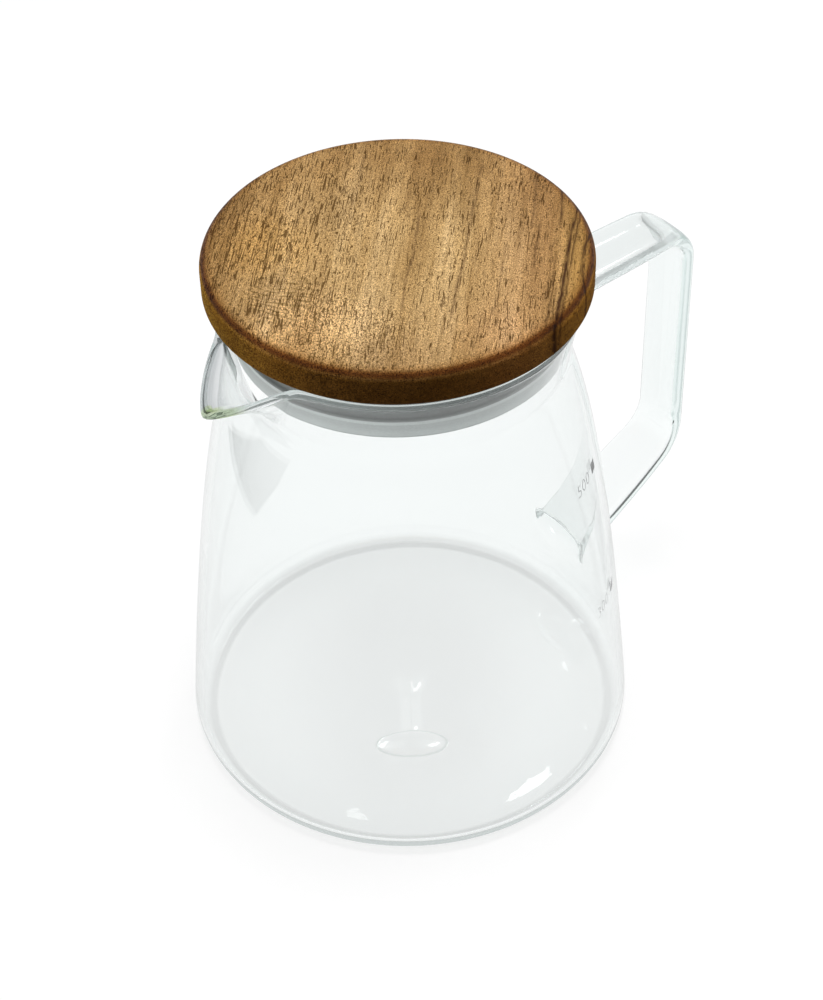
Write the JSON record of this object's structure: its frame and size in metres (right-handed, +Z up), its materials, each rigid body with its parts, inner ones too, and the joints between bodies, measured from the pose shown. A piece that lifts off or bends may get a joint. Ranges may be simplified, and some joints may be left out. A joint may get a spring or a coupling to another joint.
{
  "type": "coffee server carafe",
  "caption": "Tapered clear glass coffee server with a pulled spout, a welded strap handle and a lift-off wooden lid with a sealing ring.",
  "frame": {"origin": "centre of the foot, on the surface that the carafe stands on", "axes": "+Z up along the axis of the body, +X towards the handle, the spout points along -X"},
  "size_m": [0.1333, 0.1036, 0.1326],
  "materials": {
    "body_glass": "clear borosilicate, fire polished",
    "handle_glass": "clear borosilicate strap, fire polished",
    "lid_wood": "satin oiled hardwood",
    "silicone": "frosted translucent silicone"
  },
  "bodies": {
    "carafe": {"glass_body": "body_glass", "glass_handle": "handle_glass"},
    "lid": {"lid_disc": "lid_wood", "seal_ring": "silicone"}
  },
  "joints": [
    {"name": "lid_lift", "type": "slide", "parent": "carafe", "child": "lid", "axis": [0, 0, 1], "range_m": [0, 0.06]}
  ]
}
